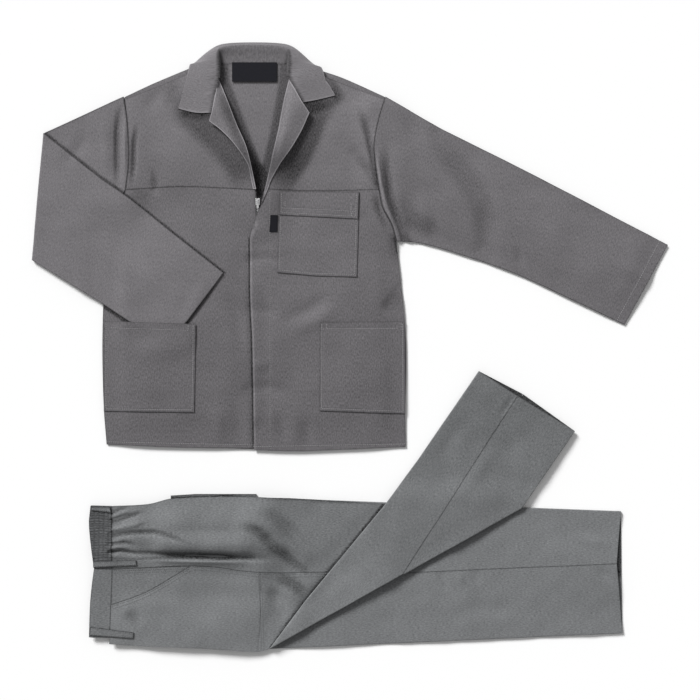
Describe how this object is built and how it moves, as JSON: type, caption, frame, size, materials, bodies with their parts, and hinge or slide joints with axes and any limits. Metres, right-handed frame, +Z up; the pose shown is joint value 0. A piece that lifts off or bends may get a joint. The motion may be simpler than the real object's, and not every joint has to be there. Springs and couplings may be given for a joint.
{
  "type": "boiler suit",
  "caption": "Work suit laid flat: zip-front jacket with notched collar and patch pockets, a sleeve folded back, above elastic-back trousers folded on their side.",
  "frame": {"origin": "on the table, under the centre of the pair's outline", "axes": "+X towards the wearer's left sleeve, +Y up towards the collar, +Z up off the table"},
  "size_m": [1.2194, 1.1652, 0.0265],
  "materials": {
    "jacket_twill": "matte heathered twill",
    "trouser_twill": "matte heathered twill",
    "woven_label": "smooth woven",
    "zip_tape": "ribbed",
    "zip_metal": "polished"
  },
  "bodies": {
    "suit": {"jacket_back": "jacket_twill", "yoke_right": "jacket_twill", "yoke_left": "jacket_twill", "front_right": "jacket_twill", "front_left": "jacket_twill", "lapel_right": "jacket_twill", "lapel_left": "jacket_twill", "sleeve_right": "jacket_twill", "sleeve_left": "jacket_twill", "pocket_lower_right": "jacket_twill", "pocket_lower_left": "jacket_twill", "pocket_chest": "jacket_twill", "pocket_chest_flap": "jacket_twill", "collar": "jacket_twill", "trouser_front_right": "trouser_twill", "trouser_back_right": "trouser_twill", "trouser_front_left": "trouser_twill", "trouser_back_left": "trouser_twill", "waistband_front_right": "trouser_twill", "waistband_back_right": "trouser_twill", "waistband_front_left": "trouser_twill", "waistband_back_left": "trouser_twill", "pocket_facing_left": "trouser_twill", "belt_loop_side": "trouser_twill", "belt_loop_front": "trouser_twill", "belt_loop_back": "trouser_twill", "hip_pocket_right": "trouser_twill", "hip_core": "trouser_twill", "label_neck": "woven_label", "label_tab": "woven_label", "zip": "zip_tape", "zip_slider": "zip_metal"},
    "pull_tab": {"zip_pull": "zip_metal"}
  },
  "joints": [
    {"name": "pull_tab_lift", "type": "hinge", "parent": "suit", "child": "pull_tab", "pos_m": [-0.1765, 0.28, 0.01277], "axis": [-1, 0, 0], "range_deg": [0, 170]}
  ]
}
